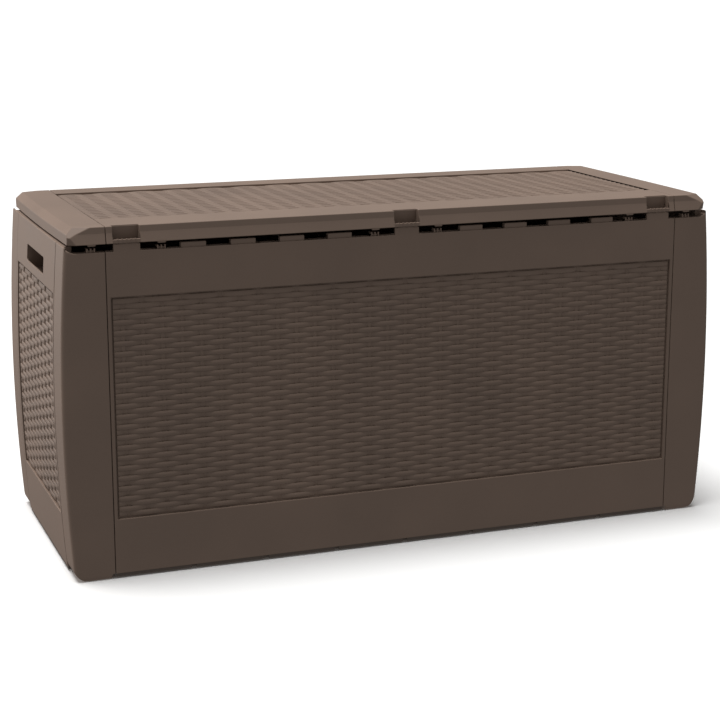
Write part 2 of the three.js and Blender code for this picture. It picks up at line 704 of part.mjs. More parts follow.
hingePlaces.forEach((x, i) => {
  body.add(finish(`hinge_bracket_${hingePlaceNames[i]}`, hingeBracket(x), darkResin()));
  body.add(finish(`hinge_pin_${hingePlaceNames[i]}`, hingePin(x), steel()));
  lid.add(finish(`lid_hinge_leaf_${hingePlaceNames[i]}`, hingeLeaf(x), darkResin()));
});

export default storageBox;
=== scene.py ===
import math

import bpy
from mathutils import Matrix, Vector


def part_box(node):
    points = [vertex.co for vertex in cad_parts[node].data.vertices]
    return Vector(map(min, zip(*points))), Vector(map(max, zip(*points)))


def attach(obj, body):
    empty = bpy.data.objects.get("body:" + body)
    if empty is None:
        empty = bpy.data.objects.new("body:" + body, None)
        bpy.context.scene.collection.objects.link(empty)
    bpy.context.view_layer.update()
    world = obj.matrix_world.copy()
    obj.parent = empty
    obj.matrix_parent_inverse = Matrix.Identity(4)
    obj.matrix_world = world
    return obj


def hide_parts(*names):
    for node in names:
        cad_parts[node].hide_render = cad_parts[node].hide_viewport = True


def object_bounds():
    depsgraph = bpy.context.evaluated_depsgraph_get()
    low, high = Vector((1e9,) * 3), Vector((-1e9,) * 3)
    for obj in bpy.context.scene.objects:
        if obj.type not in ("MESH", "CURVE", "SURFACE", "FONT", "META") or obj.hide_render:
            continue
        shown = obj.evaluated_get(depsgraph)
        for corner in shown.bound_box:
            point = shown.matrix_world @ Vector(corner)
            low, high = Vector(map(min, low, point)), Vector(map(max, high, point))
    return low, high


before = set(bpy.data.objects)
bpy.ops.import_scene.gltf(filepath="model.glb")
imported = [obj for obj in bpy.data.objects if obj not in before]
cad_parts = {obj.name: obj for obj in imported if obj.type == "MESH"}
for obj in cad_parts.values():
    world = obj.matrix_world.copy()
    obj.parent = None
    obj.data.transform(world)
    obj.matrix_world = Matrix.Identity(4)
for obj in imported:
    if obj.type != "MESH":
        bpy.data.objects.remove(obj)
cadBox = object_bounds()
mm = 0.001

# camera, lights and floor

cameraSetup = {
    "place": (-1083.2, -2900.4, 997.0),  # millimetres
    "yaw": 20.54,  # degrees, turned to the right of straight ahead
    "pitch": 13.155,  # degrees, looking down
    "lens": 87.69,
}

bpy.ops.object.select_all(action="DESELECT")
bpy.ops.object.camera_add(
    location=Vector(cameraSetup["place"]) * mm,
    rotation=(math.radians(90 - cameraSetup["pitch"]), 0, -math.radians(cameraSetup["yaw"])))
camera = bpy.context.object
camera.name = "studioCamera"
camera.data.lens = cameraSetup["lens"]
camera.data.sensor_width = 36
camera.data.clip_end = 200
bpy.context.scene.camera = camera
bpy.context.scene.view_settings.view_transform = "Standard"

lighting = {
    "skyStrength": 0.28,
    "skyColour": (1.0, 0.99, 0.98, 1),
    "sunStrength": 3.2,
    "sunSoftness": 30,  # degrees
    "sunFrom": (-0.14, 0.06, 1.0),
    "panelPower": 40,  # a soft panel stands behind the box on the left
    "panelSize": (2.4, 1.6),
    "panelPlace": (-2.6, 1.7, 0.75),
    "panelAim": (-0.57, 0.0, 0.35),
    "panelColour": (1.0, 0.93, 0.88),
    "floorColour": (0.93, 0.93, 0.925, 1),
    "floorSize": 120,
    "floorDrop": 0.0002,  # just below the feet
}

bpy.ops.object.light_add(type="SUN", location=(0, 0, 3))
topLight = bpy.context.object
topLight.name = "topLight"
topLight.data.energy = lighting["sunStrength"]
topLight.data.angle = math.radians(lighting["sunSoftness"])
topLight.rotation_euler = Vector(lighting["sunFrom"]).to_track_quat("Z", "Y").to_euler()

bpy.ops.object.light_add(type="AREA", location=lighting["panelPlace"])
sidePanel = bpy.context.object
sidePanel.name = "sidePanel"
sidePanel.data.shape = "RECTANGLE"
sidePanel.data.size, sidePanel.data.size_y = lighting["panelSize"]
sidePanel.data.energy = lighting["panelPower"]
sidePanel.data.color = lighting["panelColour"]
towards = Vector(lighting["panelAim"]) - Vector(lighting["panelPlace"])
sidePanel.rotation_euler = towards.to_track_quat("-Z", "Y").to_euler()
sidePanel.visible_camera = False

sky = bpy.data.worlds.new("studioSky")
sky.use_nodes = True
skyNode = sky.node_tree.nodes["Background"]
skyNode.inputs["Color"].default_value = lighting["skyColour"]
skyNode.inputs["Strength"].default_value = lighting["skyStrength"]
bpy.context.scene.world = sky

bpy.ops.mesh.primitive_plane_add(size=lighting["floorSize"], location=(0, 0, -lighting["floorDrop"]))
floor = bpy.context.object
floor.name = "studioFloor"
floorPaint = bpy.data.materials.new("floorPaint")
floorPaint.use_nodes = True
floorShader = floorPaint.node_tree.nodes["Principled BSDF"]
floorShader.inputs["Base Color"].default_value = lighting["floorColour"]
floorShader.inputs["Roughness"].default_value = 0.9
floor.data.materials.append(floorPaint)
floor.visible_diffuse = False
floor.visible_glossy = False
print("camera, lights and floor are set")

# materials


def mouldedResin(name, colour, roughness=0.56, mottle=0.06, grain=0.12, streak=None):
    paint = bpy.data.materials.new(name)
    paint.use_nodes = True
    nodes = paint.node_tree.nodes
    links = paint.node_tree.links
    shader = nodes["Principled BSDF"]
    shader.inputs["Specular IOR Level"].default_value = 0.3
    place = nodes.new("ShaderNodeTexCoord")

    cloud = nodes.new("ShaderNodeTexNoise")  # slow drift of the pigment
    cloud.inputs["Scale"].default_value = 7
    cloud.inputs["Detail"].default_value = 4
    links.new(place.outputs["Object"], cloud.inputs["Vector"])
    speck = nodes.new("ShaderNodeTexNoise")  # fine moulding grain
    speck.inputs["Scale"].default_value = 1400
    speck.inputs["Detail"].default_value = 2
    links.new(place.outputs["Object"], speck.inputs["Vector"])

    tint = nodes.new("ShaderNodeValToRGB")
    low, high = tint.color_ramp.elements
    low.position, high.position = 0.3, 0.72
    low.color = tuple(c * (1 - mottle) for c in colour) + (1,)
    high.color = tuple(c * (1 + mottle) for c in colour) + (1,)
    links.new(cloud.outputs["Fac"], tint.inputs["Fac"])
    dust = nodes.new("ShaderNodeMix")
    dust.data_type = "RGBA"
    dust.blend_type = "MULTIPLY"
    dust.inputs["Factor"].default_value = 0.25
    links.new(tint.outputs["Color"], dust.inputs["A"])
    links.new(speck.outputs["Fac"], dust.inputs["B"])
    lift = nodes.new("ShaderNodeBrightContrast")
    lift.inputs["Bright"].default_value = 0.018
    links.new(dust.outputs["Result"], lift.inputs["Color"])
    links.new(lift.outputs["Color"], shader.inputs["Base Color"])

    gloss = nodes.new("ShaderNodeMapRange")
    gloss.inputs["To Min"].default_value = roughness - 0.07
    gloss.inputs["To Max"].default_value = roughness + 0.09
    links.new(cloud.outputs["Fac"], gloss.inputs["Value"])
    links.new(gloss.outputs["Result"], shader.inputs["Roughness"])

    bump = nodes.new("ShaderNodeBump")
    bump.inputs["Strength"].default_value = grain
    bump.inputs["Distance"].default_value = 0.0004
    links.new(speck.outputs["Fac"], bump.inputs["Height"])
    if streak:  # fine lines along a moulded strand
        stretch = nodes.new("ShaderNodeMapping")
        stretch.inputs["Scale"].default_value = streak
        links.new(place.outputs["Object"], stretch.inputs["Vector"])
        lines = nodes.new("ShaderNodeTexNoise")
        lines.inputs["Scale"].default_value = 1
        lines.inputs["Detail"].default_value = 2
        links.new(stretch.outputs["Vector"], lines.inputs["Vector"])
        fibre = nodes.new("ShaderNodeBump")
        fibre.inputs["Strength"].default_value = 0.3
        fibre.inputs["Distance"].default_value = 0.0005
        links.new(lines.outputs["Fac"], fibre.inputs["Height"])
        links.new(fibre.outputs["Normal"], bump.inputs["Normal"])
    links.new(bump.outputs["Normal"], shader.inputs["Normal"])
    return paint


def drawnSteel(name):
    paint = bpy.data.materials.new(name)
    paint.use_nodes = True
    nodes = paint.node_tree.nodes
    links = paint.node_tree.links
    shader = nodes["Principled BSDF"]
    shader.inputs["Metallic"].default_value = 1
    place = nodes.new("ShaderNodeTexCoord")
    stretch = nodes.new("ShaderNodeMapping")
    stretch.inputs["Scale"].default_value = (60, 2400, 2400)
    links.new(place.outputs["Object"], stretch.inputs["Vector"])
    lines = nodes.new("ShaderNodeTexNoise")
    lines.inputs["Scale"].default_value = 1
    links.new(stretch.outputs["Vector"], lines.inputs["Vector"])
    tint = nodes.new("ShaderNodeValToRGB")
    tint.color_ramp.elements[0].color = (0.42, 0.42, 0.41, 1)
    tint.color_ramp.elements[1].color = (0.62, 0.62, 0.6, 1)
    links.new(lines.outputs["Fac"], tint.inputs["Fac"])
    links.new(tint.outputs["Color"], shader.inputs["Base Color"])
    gloss = nodes.new("ShaderNodeMapRange")
    gloss.inputs["To Min"].default_value = 0.28
    gloss.inputs["To Max"].default_value = 0.45
    links.new(lines.outputs["Fac"], gloss.inputs["Value"])
    links.new(gloss.outputs["Result"], shader.inputs["Roughness"])
    return paint


resinColour = (0.232, 0.160, 0.120)
darkColour = (0.115, 0.086, 0.068)
streak = {"along": 60, "across": 2600}  # lines per metre of a strand
longStreak = (streak["along"], streak["across"], streak["across"])
endStreak = (streak["across"], streak["along"], streak["across"])
wallPaint = mouldedResin("wallResin", resinColour)
lidPaint = mouldedResin("lidResin", resinColour)
longWeavePaint = mouldedResin("longWeaveResin", resinColour, 0.52, 0.08, 0.1, longStreak)
endWeavePaint = mouldedResin("endWeaveResin", resinColour, 0.52, 0.08, 0.1, endStreak)
floorResinPaint = mouldedResin("floorResin", darkColour, 0.62)
hingePaint = mouldedResin("hingeResin", darkColour, 0.6)
pinPaint = drawnSteel("pinSteel")
print("materials are mixed")

# modelling helpers

touching = 1e-5  # metres, points nearer than this are the same
pastFace = 5 * mm  # a cutting tool reaches this far past the face it cuts
skin = 3 * mm  # wall of every moulding


def wakeOnly(piece):
    if bpy.context.mode != "OBJECT":
        bpy.ops.object.mode_set(mode="OBJECT")
    bpy.ops.object.select_all(action="DESELECT")
    piece.select_set(True)
    bpy.context.view_layer.objects.active = piece


def settle(piece):  # puts its place and turn into its mesh
    wakeOnly(piece)
    bpy.ops.object.transform_apply(location=True, rotation=True, scale=True)


def addBlock(name, low, high):  # two opposite corners, in metres
    bpy.ops.object.select_all(action="DESELECT")
    low, high = Vector(low), Vector(high)
    bpy.ops.mesh.primitive_cube_add(size=1, location=(low + high) / 2)
    piece = bpy.context.object
    piece.name = name
    piece.scale = high - low
    settle(piece)
    return piece


def sliceAcross(piece, axis, places):
    wakeOnly(piece)
    bpy.ops.object.mode_set(mode="EDIT")
    for place in places:
        bpy.ops.mesh.select_all(action="SELECT")
        spot, along = [0, 0, 0], [0, 0, 0]
        spot[axis], along[axis] = place, 1
        bpy.ops.mesh.bisect(plane_co=spot, plane_no=along)
    bpy.ops.object.mode_set(mode="OBJECT")


def trimOff(piece, spot, outwards):
    wakeOnly(piece)
    bpy.ops.object.mode_set(mode="EDIT")
    bpy.ops.mesh.select_all(action="SELECT")
    bpy.ops.mesh.bisect(plane_co=spot, plane_no=outwards, clear_outer=True, use_fill=True)
    bpy.ops.object.mode_set(mode="OBJECT")


def pickFaces(piece, rule):  # leaves the piece in edit mode
    wakeOnly(piece)
    bpy.context.tool_settings.mesh_select_mode = (False, False, True)
    mesh = piece.data
    for part in (mesh.vertices, mesh.edges):
        part.foreach_set("select", [False] * len(part))
    for face in mesh.polygons:
        face.select = rule(face.center, face.normal)
    bpy.ops.object.mode_set(mode="EDIT")


def pickEdges(piece, rule):
    wakeOnly(piece)
    bpy.context.tool_settings.mesh_select_mode = (False, True, False)
    mesh = piece.data
    for part in (mesh.vertices, mesh.polygons):
        part.foreach_set("select", [False] * len(part))
    for edge in mesh.edges:
        a, b = (mesh.vertices[i].co for i in edge.vertices)
        edge.select = rule(a, b)
    bpy.ops.object.mode_set(mode="EDIT")


def pushFaces(piece, rule, move, inset=0, each=False):
    pickFaces(piece, rule)
    if inset:
        bpy.ops.mesh.inset(thickness=inset, depth=0, use_individual=each)
    bpy.ops.mesh.extrude_region_move(TRANSFORM_OT_translate={"value": move})
    bpy.ops.object.mode_set(mode="OBJECT")


def mendMesh(piece):  # merges doubles and turns the faces outwards
    wakeOnly(piece)
    bpy.ops.object.mode_set(mode="EDIT")
    bpy.ops.mesh.select_all(action="SELECT")
    bpy.ops.mesh.remove_doubles(threshold=touching)
    bpy.ops.mesh.normals_make_consistent(inside=False)
    bpy.ops.object.mode_set(mode="OBJECT")


def softenEdges(piece, width, segments=2, angle=38):
    mendMesh(piece)
    bevel = piece.modifiers.new("softEdges", "BEVEL")
    bevel.width = width
    bevel.segments = segments
    bevel.limit_method = "ANGLE"
    bevel.angle_limit = math.radians(angle)
    bevel.use_clamp_overlap = False
    bpy.ops.object.modifier_apply(modifier=bevel.name)


def smoothOff(piece, angle=42):
    wakeOnly(piece)
    bpy.ops.object.shade_smooth_by_angle(angle=math.radians(angle))


def joinTo(piece, others):
    wakeOnly(piece)
    for other in others:
        other.select_set(True)
    bpy.ops.object.join()
    return piece


def copyOf(piece, name, turn=0, flip=None):  # turned about Z in degrees, or mirrored across "X" or "Y"
    wakeOnly(piece)
    bpy.ops.object.duplicate()
    twin = bpy.context.object
    twin.name = name
    twin.data.name = name
    twin.rotation_euler = (0, 0, math.radians(turn))
    if flip:
        twin.scale = (-1, 1, 1) if flip == "X" else (1, -1, 1)
    settle(twin)
    if flip:
        bpy.ops.object.mode_set(mode="EDIT")
        bpy.ops.mesh.select_all(action="SELECT")
        bpy.ops.mesh.normals_make_consistent(inside=False)
        bpy.ops.object.mode_set(mode="OBJECT")
    return twin


def finishPiece(piece, body, slot, paint, *nodes):
    if nodes:  # keeps the wide faces of a panel flat between its rounded edges
        wakeOnly(piece)
        flat = piece.modifiers.new("flatFaces", "WEIGHTED_NORMAL")
        flat.keep_sharp = True
        bpy.ops.object.modifier_apply(modifier=flat.name)
    piece.data.materials.clear()
    piece.data.materials.append(paint)
    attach(piece, body)
    if nodes:
        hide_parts(*nodes)


def cadCorner(node, which):
    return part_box(node)[which]


# the body's ends bulge in one upright arc
bow = {
    "radius": 3170 * mm,
    "height": 268 * mm,
    "whole": 28 * mm,  # this much of a post moves all the way
}
halfLength = cadBox[1].x


def bowedHalf(z):
    return halfLength - bow["radius"] + math.sqrt(bow["radius"] ** 2 - (z - bow["height"]) ** 2)


rimHeight = cadCorner("rear_wall", 1).z
rimHalf = bowedHalf(rimHeight)
endTop = cadCorner("right_end_wall", 1).z
frontFace = cadCorner("front_wall", 0).y
wallHalf = cadCorner("front_wall", 1).x
panelFoot = cadCorner("front_wall", 0).z
lidTop = cadBox[1].z
lidFront = cadBox[0].y


def bowOut(piece, fixedX=None):  # moves the outer side out to the arc
    for vertex in piece.data.vertices:
        x = vertex.co.x
        share = 1 if fixedX is None else min(1, max(0, (x - fixedX) / (rimHalf - fixedX - bow["whole"])))
        vertex.co.x = x + share * (bowedHalf(vertex.co.z) - rimHalf)


def span(low, high, count):
    return [low + (high - low) * i / count for i in range(count + 1)]


# woven skins

weave = {
    "crest": 3.7,  # above the floor of the pocket
    "gap": 0.25,  # between rows
    "barWidth": 6.5,
    "barHeight": 0.5,
    "barEdge": 0.6,
    "root": 0.3,  # below the floor of the pocket
    "crowd": 0.8,  # under 1 brings the steps closer together at the ends
    "diveStart": 0.88,  # share of half a strand, where its end turns down
    "diveCurve": 1.6,
    "roundness": 0.985,  # 1 makes a strand half round across
    "steps": 12,
    "sides": 4,
}
# period is along a strand from one dive to the next, and breakLength is where it is down behind
longStrand = {"period": 64.3, "breakLength": 5.5, "arch": 2.5, "dive": 0.7, "valley": 0.6, "bars": True}
endStrand = {"period": 64.8, "breakLength": 9.5, "arch": 1.1, "dive": 2.3, "valley": 0.72, "bars": False}
lidStrand = {"period": 64.3, "breakLength": 11.5, "arch": 1.3, "dive": 2.7, "valley": 0.5, "bars": False}


def strandPillow(strand, length, width):
    bpy.ops.object.select_all(action="DESELECT")
    bpy.ops.mesh.primitive_grid_add(x_subdivisions=weave["steps"], y_subdivisions=weave["sides"], size=1)
    pillow = bpy.context.object
    pillow.name = "strandPillow"
    crest, arch, dive = weave["crest"] * mm, strand["arch"] * mm, strand["dive"] * mm
    valley, diveStart = strand["valley"], weave["diveStart"]
    for vertex in pillow.data.vertices:
        u, v = vertex.co.x * 2, vertex.co.y * 2  # each -1 to 1
        u = math.copysign(abs(u) ** weave["crowd"], u)
        v = math.copysign(abs(v) ** weave["crowd"], v)
        end = max(0, (abs(u) - diveStart) / (1 - diveStart))
        rise = crest - arch * u * u - dive * end ** weave["diveCurve"]
        across = math.sqrt(max(0, 1 - (v * weave["roundness"]) ** 2))
        vertex.co = (u * length / 2, v * width / 2, rise * (valley + (1 - valley) * across))
    wakeOnly(pillow)
    bpy.ops.object.mode_set(mode="EDIT")
    bpy.ops.mesh.select_all(action="SELECT")
    bpy.ops.mesh.region_to_loop()
    bpy.ops.mesh.extrude_edges_move()
    bpy.ops.transform.resize(value=(1, 1, 0), center_override=(0, 0, -weave["root"] * mm))
    bpy.ops.mesh.edge_face_add()
    bpy.ops.mesh.select_all(action="SELECT")
    bpy.ops.mesh.normals_make_consistent(inside=False)
    bpy.ops.object.mode_set(mode="OBJECT")
    return pillow


def repeatAlong(piece, count, step):
    wakeOnly(piece)
    row = piece.modifiers.new("repeat", "ARRAY")
    row.count = count
    row.use_relative_offset = False
    row.use_constant_offset = True
    row.constant_offset_displace = step
    bpy.ops.object.modifier_apply(modifier=row.name)


def warpBars(low, high, place, step):  # upright bars that the strands pass over
    bars = []
    half = weave["barWidth"] * mm / 2
    while place < high[0]:
        if low[0] + half < place < high[0] - half:
            bar = addBlock("warpBar", (place - half, low[1], -weave["root"] * mm),
                           (place + half, high[1], weave["barHeight"] * mm))
            softenEdges(bar, weave["barEdge"] * mm)
            smoothOff(bar)
            bars.append(bar)
        place += step
    return bars


def weaveField(name, low, high, rows, strand, shift=0):
    pitch = (high[1] - low[1]) / rows
    period = strand["period"] * mm
    weaving = strandPillow(strand, period - strand["breakLength"] * mm, pitch - weave["gap"] * mm)
    other = copyOf(weaving, "nextStrand")
    other.location = (period / 2, pitch, 0)
    settle(other)
    joinTo(weaving, [other])
    across = math.ceil((high[0] - low[0]) / period) + 2
    repeatAlong(weaving, across, (period, 0, 0))
    repeatAlong(weaving, rows // 2, (0, 2 * pitch, 0))
    start = (low[0] + high[0]) / 2 - (across // 2) * period + shift
    weaving.location = (start, low[1] + pitch / 2, 0)
    settle(weaving)
    trimOff(weaving, (low[0], 0, 0), (-1, 0, 0))
    trimOff(weaving, (high[0], 0, 0), (1, 0, 0))
    smoothOff(weaving, 60)

    if strand["bars"]:
        middle = start + period / 2
        place = middle - math.floor((middle - low[0]) / (period / 2)) * period / 2
        joinTo(weaving, warpBars(low, high, place, period / 2))
    weaving.name = name
    weaving.data.name = name
    return weaving


def standUp(weaving, turn, place):  # from flat to upright, then turned about Z
    weaving.rotation_euler = (math.radians(90), 0, 0)
    settle(weaving)
    weaving.location = place
    settle(weaving)
    weaving.rotation_euler = (0, 0, math.radians(turn))
    settle(weaving)


# front and rear walls

longWall = {
    "thickness": 16,
    "fieldHalf": 501,
    "fieldBottom": 100,
    "fieldTop": 465.3,
    "pocket": 5.5,
    "margin": 3,  # dark groove round the weave
    "rows": 42,
    "cells": 8,  # between the inside ribs
    "rib": 3,
    "edge": 1.1,
}

rim = {
    "tabs": (-473, 0, 473),
    "tabWidth": 43,
    "tabHeight": 11,
    "tabThickness": 5,
    "blockFirst": 117.5,
    "blockPitch": 82.4,
    "blockCount": 4,
    "blockWidth": 42,
    "blockHeight": 8.5,
    "blockSetBack": 2,
    "blockDepth": 13,
    "blockEdge": 1.7,
    "bumpers": (56, 417, 530),
    "bumperWidth": 14,
    "bumperHeight": 6.5,
    "bumperRib": 2.2,
    "slotFront": 3,  # a slot runs along the rim behind its thin front edge
    "slotBack": 13,
    "slotDepth": 6,
    "root": 1.5,  # a block starts this far inside the wall
    "webBack": 2,  # a bumper's web, behind and below its ribs
    "webDrop": 3,
    "edge": 0.7,
    "ribEdge": 0.5,
    "tabEdge": 0.9,
}


def inwardCells(piece, columns, edges, depths, innerY, rib):
    # columns and edges are the middles of the ribs, and depths what is left of the wall between two edges
    first, last = columns[0], columns[-1]
    sliceAcross(piece, 0, columns)
    sliceAcross(piece, 2, edges)
    for low, high, depth in zip(edges, edges[1:], depths):
        pushFaces(piece, lambda c, n: n.y > 0.9 and abs(c.y - innerY) < touching
                  and low < c.z < high and first < c.x < last,
                  (0, -(innerY - frontFace - depth), 0), rib / 2, each=True)


def cutWith(piece, tool):
    wakeOnly(piece)
    hollow = piece.modifiers.new("hollow", "BOOLEAN")
    hollow.operation = "DIFFERENCE"
    hollow.solver = "EXACT"
    hollow.object = tool
    bpy.ops.object.modifier_apply(modifier=hollow.name)
    bpy.data.objects.remove(tool)


def rimSlotTool(columns, rib):
    front, back = frontFace + rim["slotFront"] * mm, frontFace + rim["slotBack"] * mm
    depth = rim["slotDepth"] * mm
    tools = [addBlock("rimSlotTool", (x0 + rib / 2, front, rimHeight - depth),
                      (x1 - rib / 2, back, rimHeight + depth))
             for x0, x1 in zip(columns, columns[1:])]
    return joinTo(tools[0], tools[1:])


def buildLongWall(name, slotted):
    size = longWall
    thick, rib = size["thickness"] * mm, size["rib"] * mm
    low, high = size["fieldBottom"] * mm, size["fieldTop"] * mm
    innerY = frontFace + thick
    wall = addBlock(name, (-wallHalf, frontFace, panelFoot), (wallHalf, innerY, rimHeight))
    columns = span(-wallHalf + rib / 2, wallHalf - rib / 2, size["cells"])
    middle = (low + high) / 2
    deep = size["pocket"] * mm + skin
    edges = [panelFoot + rib / 2, low - rib / 2, middle, high + rib / 2, rimHeight - rib / 2]
    inwardCells(wall, columns, edges, [skin, deep, deep, skin], innerY, rib)
    half = size["fieldHalf"] * mm
    sliceAcross(wall, 0, [-half, half])
    sliceAcross(wall, 2, [low, high])
    pushFaces(wall, lambda c, n: n.y < -0.9 and abs(c.y - frontFace) < touching
              and abs(c.x) < half and low < c.z < high, (0, size["pocket"] * mm, 0))
    if slotted:
        cutWith(wall, rimSlotTool(columns, rib))
    softenEdges(wall, size["edge"] * mm)
    smoothOff(wall)
    return wall


frontPanel = buildLongWall("frontPanel", True)
rearMould = buildLongWall("rearMould", False)
rearPanel = copyOf(rearMould, "rearPanel", turn=180)
bpy.data.objects.remove(rearMould)

fieldLow = (longWall["fieldBottom"] + longWall["margin"]) * mm
fieldHigh = (longWall["fieldTop"] - longWall["margin"]) * mm
strandHalf = (longWall["fieldHalf"] - longWall["margin"]) * mm
frontWeave = weaveField("frontWeave", (-strandHalf, fieldLow), (strandHalf, fieldHigh),
                        longWall["rows"], longStrand)
standUp(frontWeave, 0, (0, frontFace + longWall["pocket"] * mm, 0))
rearWeave = copyOf(frontWeave, "rearWeave", turn=180)
print("front and rear walls are made")

# tabs, blocks and bumpers along the front rim


def rimBlock(x, width, setBack, depth, height, edge):  # all in millimetres
    half = width / 2 * mm
    block = addBlock("rimBlock", (x * mm - half, frontFace + setBack * mm, rimHeight - rim["root"] * mm),
                     (x * mm + half, frontFace + depth * mm, rimHeight + height * mm))
    softenEdges(block, edge * mm)
    smoothOff(block)
    return block


def bumperAt(x):
    width, ribWidth = rim["bumperWidth"], rim["bumperRib"]
    web = rimBlock(x, width, rim["blockSetBack"] + rim["webBack"], rim["blockDepth"],
                   rim["bumperHeight"] - rim["webDrop"], rim["edge"])
    ribs = [rimBlock(x + side * (width - ribWidth) / 2, ribWidth, rim["blockSetBack"],
                     rim["blockDepth"], rim["bumperHeight"], rim["ribEdge"]) for side in (-1, 0, 1)]
    return joinTo(web, ribs)


rimParts = []
for x in rim["tabs"]:
    rimParts.append(rimBlock(x, rim["tabWidth"], 0, rim["tabThickness"], rim["tabHeight"], rim["tabEdge"]))
for side in (-1, 1):
    for i in range(rim["blockCount"]):
        x = side * (rim["blockFirst"] + i * rim["blockPitch"])
        rimParts.append(rimBlock(x, rim["blockWidth"], rim["blockSetBack"], rim["blockDepth"],
                                 rim["blockHeight"], rim["blockEdge"]))
    for place in rim["bumpers"]:
        if place * mm < wallHalf:
            rimParts.append(bumperAt(side * place))
joinTo(frontPanel, rimParts)
print("rim details are made")

# end walls

endWall = {
    "thickness": 16,
    "half": cadCorner("right_end_wall", 1).y,
    "fieldHalf": 160,
    "fieldBottom": 100,
    "fieldTop": 465,
    "pocket": 5.5,
    "margin": 3,
    "rows": 40,
    "rib": 3,
    "cells": 3,
    "holeHalf": 74,
    "holeBottom": 480.5,
    "holeTop": 508.5,
    "holeCorner": 4,
    "holeLip": 3,
    "cupDepth": 36,  # a closed cup behind the hole
    "cupDrop": 12,
    "cupWall": 3,
    "cupMouth": 2,  # its front edge is this far inside the wall
    "cupLap": 0.3,
    "cupEdge": 0.8,
    "seamEdge": 2.4,
    "edge": 1.1,
    "steps": 12,
}


def handCup():
    size = endWall
    wallDepth = size["cupWall"] * mm
    half, high = size["holeHalf"] * mm, size["holeTop"] * mm
    low = (size["holeBottom"] - size["cupDrop"]) * mm
    back, mouth = rimHalf - size["cupDepth"] * mm, rimHalf - size["cupMouth"] * mm
    cup = addBlock("handCup", (back - wallDepth, -half - wallDepth, low - wallDepth),
                   (mouth, half + wallDepth, high + wallDepth))
    pushFaces(cup, lambda c, n: n.x > 0.9, (back - mouth, 0, 0), wallDepth - size["cupLap"] * mm)
    softenEdges(cup, size["cupEdge"] * mm)
    return cup


def buildEndWall(name):
    size = endWall
    rib = size["rib"] * mm
    half = size["half"]
    innerX = rimHalf - size["thickness"] * mm
    low, high = size["fieldBottom"] * mm, size["fieldTop"] * mm
    wall = addBlock(name, (innerX, -half, panelFoot), (rimHalf, half, endTop))
    holeLow, holeHigh, holeHalf = size["holeBottom"] * mm, size["holeTop"] * mm, size["holeHalf"] * mm
    columns = span(-half + rib / 2, half - rib / 2, size["cells"])
    middle = (low + high) / 2
    edges = [panelFoot + rib / 2, low - rib / 2, middle, high + rib / 2, endTop - rib / 2]
    sliceAcross(wall, 1, columns)
    sliceAcross(wall, 2, edges)
    deep = size["pocket"] * mm + skin
    for z0, z1, depth in zip(edges, edges[1:], [skin, deep, deep, size["holeLip"] * mm]):
        pushFaces(wall, lambda c, n: n.x < -0.9 and z0 < c.z < z1 and columns[0] < c.y < columns[-1]
                  and abs(c.x - innerX) < touching, (size["thickness"] * mm - depth, 0, 0), rib / 2,
                  each=z1 < endTop - rib)
    sliceAcross(wall, 1, [-holeHalf, holeHalf])
    sliceAcross(wall, 2, [holeLow, holeHigh])
    pickFaces(wall, lambda c, n: abs(n.x) > 0.9 and abs(c.y) < holeHalf and holeLow < c.z < holeHigh)
    bpy.ops.mesh.bridge_edge_loops()
    bpy.ops.object.mode_set(mode="OBJECT")
    pickEdges(wall, lambda a, b: abs(a.x - b.x) > touching and abs(abs(a.y) - holeHalf) < touching
              and (abs(a.z - holeLow) < touching or abs(a.z - holeHigh) < touching))
    bpy.ops.mesh.bevel(offset=size["holeCorner"] * mm, segments=4, affect="EDGES")
    bpy.ops.object.mode_set(mode="OBJECT")
    fieldHalf = size["fieldHalf"] * mm
    sliceAcross(wall, 1, [-fieldHalf, fieldHalf])
    sliceAcross(wall, 2, [low, high])
    pushFaces(wall, lambda c, n: n.x > 0.9 and abs(c.x - rimHalf) < touching
              and abs(c.y) < fieldHalf and low < c.z < high, (-size["pocket"] * mm, 0, 0))
    pickEdges(wall, lambda a, b: abs(a.z - b.z) > touching and min(a.x, b.x) > rimHalf - touching
              and min(abs(a.y), abs(b.y)) > half - touching)
    bpy.ops.mesh.bevel(offset=size["seamEdge"] * mm, segments=4, affect="EDGES")
    bpy.ops.object.mode_set(mode="OBJECT")
    softenEdges(wall, size["edge"] * mm)
    joinTo(wall, [handCup()])
    sliceAcross(wall, 2, span(panelFoot, endTop, size["steps"])[1:-1])
    bowOut(wall)
    smoothOff(wall)
    return wall


rightPanel = buildEndWall("rightPanel")
leftPanel = copyOf(rightPanel, "leftPanel", turn=180)

endHalf = (endWall["fieldHalf"] - endWall["margin"]) * mm
endHigh = (endWall["fieldTop"] - endWall["margin"]) * mm
rightWeave = weaveField("rightWeave", (-endHalf, fieldLow), (endHalf, endHigh),
                        endWall["rows"], endStrand, endStrand["period"] * mm / 4)
standUp(rightWeave, 90, (0, -rimHalf + endWall["pocket"] * mm, 0))
bowOut(rightWeave)
leftWeave = copyOf(rightWeave, "leftWeave", turn=180)
print("end walls are made")

# corner posts

